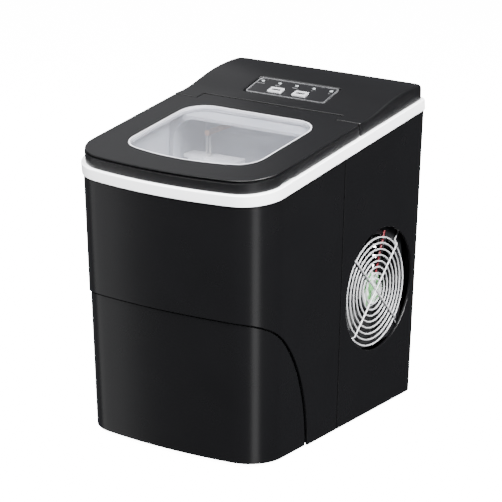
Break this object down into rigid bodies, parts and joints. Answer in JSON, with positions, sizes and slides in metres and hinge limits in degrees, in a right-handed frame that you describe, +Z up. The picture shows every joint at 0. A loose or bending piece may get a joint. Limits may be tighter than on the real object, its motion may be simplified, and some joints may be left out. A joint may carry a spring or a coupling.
{
  "type": "ice maker",
  "caption": "Countertop ice maker: tapered black casing, sloping lid with a clear window, white trim band, rear control hump, side fan with a wire spiral guard.",
  "frame": {"origin": "on the floor under the middle of the machine, between the four feet", "axes": "+X to the machine's right side, where the fan is; -Y out of the front; +Z up"},
  "size_m": [0.2312, 0.3137, 0.3346],
  "materials": {
    "satin_black": "satin moulded plastic, very fine texture",
    "lid_black": "satin moulded plastic",
    "cover_black": "satin moulded plastic",
    "white_gloss": "polished white plastic",
    "clear_panel": "clear moulded panel",
    "pale_rim": "pale moulded rim",
    "liner_plastic": "pale food-grade plastic",
    "tray_plastic": "pale moulded plastic",
    "white_parts": "white moulded plastic",
    "overlay_black": "printed film, half gloss",
    "silver_line": "satin silver line",
    "button_grey": "light grey key",
    "lens_grey": "clear grey indicator",
    "dark_plastic": "plain dark plastic",
    "foam": "expanded foam",
    "sheet_steel": "zinc-grey sheet",
    "nickel": "nickel-plated copper",
    "copper": "bare copper tube",
    "brass_body": "machined brass",
    "compressor_black": "gloss black enamel",
    "fin_aluminium": "plain aluminium fins",
    "motor_metal": "zinc-plated can",
    "wire_chrome": "bright plated wire",
    "screw_steel": "zinc-plated steel",
    "rubber_black": "black rubber",
    "hose": "milky silicone hose",
    "pcb": "green circuit board",
    "label_green": "printed round label",
    "wire_red": "red insulated wire"
  },
  "bodies": {
    "casing": {"front_housing": "satin_black", "lower_front_panel": "satin_black", "rear_housing": "satin_black", "back_panel": "satin_black", "base_plate": "sheet_steel", "foot_front_left": "rubber_black", "foot_front_right": "rubber_black", "foot_rear_left": "rubber_black", "foot_rear_right": "rubber_black", "trim_band": "white_gloss", "top_cover": "cover_black", "control_overlay": "overlay_black", "overlay_outline": "silver_line", "indicator_lenses": "lens_grey", "control_board": "pcb", "inner_liner": "liner_plastic", "insulation_foam": "foam", "divider_panel": "sheet_steel", "chamber_hood": "liner_plastic", "evaporator": "nickel", "evaporator_frame": "white_parts", "tray_motor": "motor_metal", "ice_full_sensors": "dark_plastic", "water_pump": "dark_plastic", "water_hose": "hose", "compressor": "compressor_black", "compressor_grommets": "rubber_black", "condenser": "fin_aluminium", "fan_frame": "dark_plastic", "fan_label": "label_green", "fan_wire": "wire_red", "fan_grille": "wire_chrome", "fan_screws": "screw_steel", "refrigerant_tubes": "copper", "filter_drier": "copper", "hot_gas_valve": "brass_body", "main_board": "pcb", "board_bracket": "sheet_steel", "back_panel_screws": "screw_steel", "drain_fitting": "dark_plastic", "drain_hose": "hose", "cord_gland": "dark_plastic"},
    "lid": {"lid_frame": "lid_black", "lid_window": "clear_panel", "window_gasket": "pale_rim", "lid_hinge_pins": "screw_steel"},
    "power_key": {"button_power": "button_grey"},
    "select_key": {"button_select": "button_grey"},
    "basket": {"ice_basket": "tray_plastic"},
    "tray": {"water_tray": "tray_plastic"},
    "pusher": {"ice_pusher": "white_parts"},
    "fan": {"fan_impeller": "dark_plastic"},
    "plug": {"drain_plug": "rubber_black"}
  },
  "joints": [
    {"name": "lid_hinge", "type": "hinge", "parent": "casing", "child": "lid", "pos_m": [0, 0.03936, 0.31574], "axis": [-1, 0, 0], "range_deg": [0, 105]},
    {"name": "power_press", "type": "slide", "parent": "casing", "child": "power_key", "axis": [0, 0.2588, -0.9659], "range_m": [0, 0.0008], "stiffness_N_per_m": 800, "springref_m": -0.0004},
    {"name": "select_press", "type": "slide", "parent": "casing", "child": "select_key", "axis": [0, 0.2588, -0.9659], "range_m": [0, 0.0008], "stiffness_N_per_m": 800, "springref_m": -0.0004},
    {"name": "basket_lift", "type": "slide", "parent": "casing", "child": "basket", "axis": [0, 0, 1], "range_m": [0, 0.045]},
    {"name": "tray_tilt", "type": "hinge", "parent": "casing", "child": "tray", "pos_m": [0, 0.022, 0.244], "axis": [1, 0, 0], "range_deg": [0, 90]},
    {"name": "pusher_swing", "type": "hinge", "parent": "casing", "child": "pusher", "pos_m": [0, 0.022, 0.244], "axis": [1, 0, 0], "range_deg": [-118, 0]},
    {"name": "fan_spin", "type": "hinge", "parent": "casing", "child": "fan", "pos_m": [0.09, 0.071, 0.1335], "axis": [1, 0, 0], "continuous": true},
    {"name": "plug_pull", "type": "slide", "parent": "casing", "child": "plug", "axis": [0, 1, 0], "range_m": [0, 0.012]}
  ],
  "couplings": [
    {"joint": "pusher_swing", "follows": "tray_tilt", "ratio": -1.3}
  ]
}
